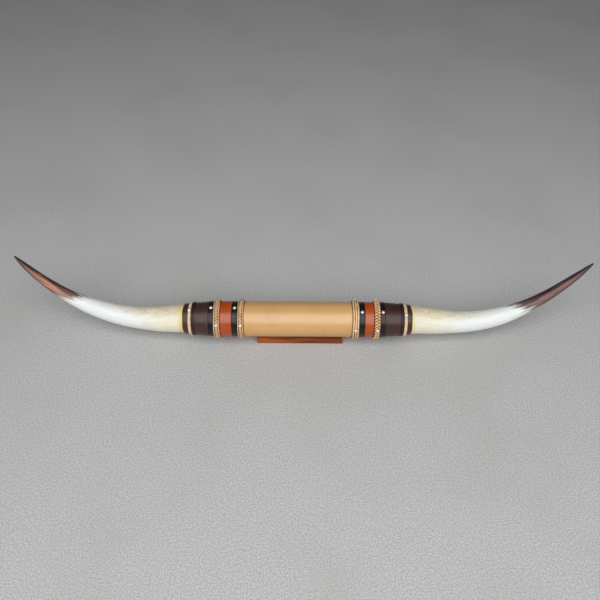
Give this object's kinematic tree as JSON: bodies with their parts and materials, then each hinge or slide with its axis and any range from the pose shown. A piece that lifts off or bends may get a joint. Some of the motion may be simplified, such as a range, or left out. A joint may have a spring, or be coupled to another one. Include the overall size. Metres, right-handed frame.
{
  "type": "longhorn horn mount",
  "caption": "Wall mount of long curved cattle horns joined by a leather-wrapped wooden roll with plaited bands, domed tacks and cuffs, lying on its wooden back board.",
  "frame": {"origin": "on the board's back face, under the middle of the roll; the board reaches a little further to the right than to the left", "axes": "+X along the roll to the right horn, +Y up the wall when hung (away from the viewer as it lies), +Z out from the wall, straight up as it lies on its board"},
  "size_m": [1.8305, 0.2126, 0.198],
  "materials": {
    "board_wood": "stained, satin varnish",
    "core_wood": "bare turned wood",
    "tan_leather": "smooth, semi-gloss",
    "black_leather": "smooth, semi-gloss",
    "orange_leather": "smooth, semi-gloss",
    "brown_leather": "smooth, semi-gloss",
    "braid_leather": "plaited lace, satin",
    "cord_leather": "satin lace",
    "horn": "natural horn, hand polished, cream to white with dark tips",
    "tack_metal": "bright pale plating"
  },
  "bodies": {
    "root": {"back_board": "board_wood", "black_band_inner_left": "black_leather", "black_band_inner_right": "black_leather", "black_band_outer_left": "black_leather", "black_band_outer_right": "black_leather", "braid_inner_left": "braid_leather", "braid_inner_right": "braid_leather", "braid_outer_left": "braid_leather", "braid_outer_right": "braid_leather", "brown_cuff_left": "brown_leather", "brown_cuff_right": "brown_leather", "core_log": "core_wood", "cuff_cord_left": "cord_leather", "cuff_cord_right": "cord_leather", "cuff_strap_left": "brown_leather", "cuff_strap_right": "brown_leather", "horn_left": "horn", "horn_right": "horn", "orange_band_left": "orange_leather", "orange_band_right": "orange_leather", "tack_black_inner_left_1": "tack_metal", "tack_black_inner_left_2": "tack_metal", "tack_black_inner_right_1": "tack_metal", "tack_black_inner_right_2": "tack_metal", "tack_black_outer_left_1": "tack_metal", "tack_black_outer_left_2": "tack_metal", "tack_black_outer_right_1": "tack_metal", "tack_black_outer_right_2": "tack_metal", "tack_braid_inner_left_1": "tack_metal", "tack_braid_inner_left_2": "tack_metal", "tack_braid_inner_left_3": "tack_metal", "tack_braid_inner_right_1": "tack_metal", "tack_braid_inner_right_2": "tack_metal", "tack_braid_inner_right_3": "tack_metal", "tack_braid_outer_left_1": "tack_metal", "tack_braid_outer_left_2": "tack_metal", "tack_braid_outer_left_3": "tack_metal", "tack_braid_outer_right_1": "tack_metal", "tack_braid_outer_right_2": "tack_metal", "tack_braid_outer_right_3": "tack_metal", "tack_cord_left_1": "tack_metal", "tack_cord_left_2": "tack_metal", "tack_cord_right_1": "tack_metal", "tack_cord_right_2": "tack_metal", "tan_wrap": "tan_leather"}
  },
  "joints": []
}
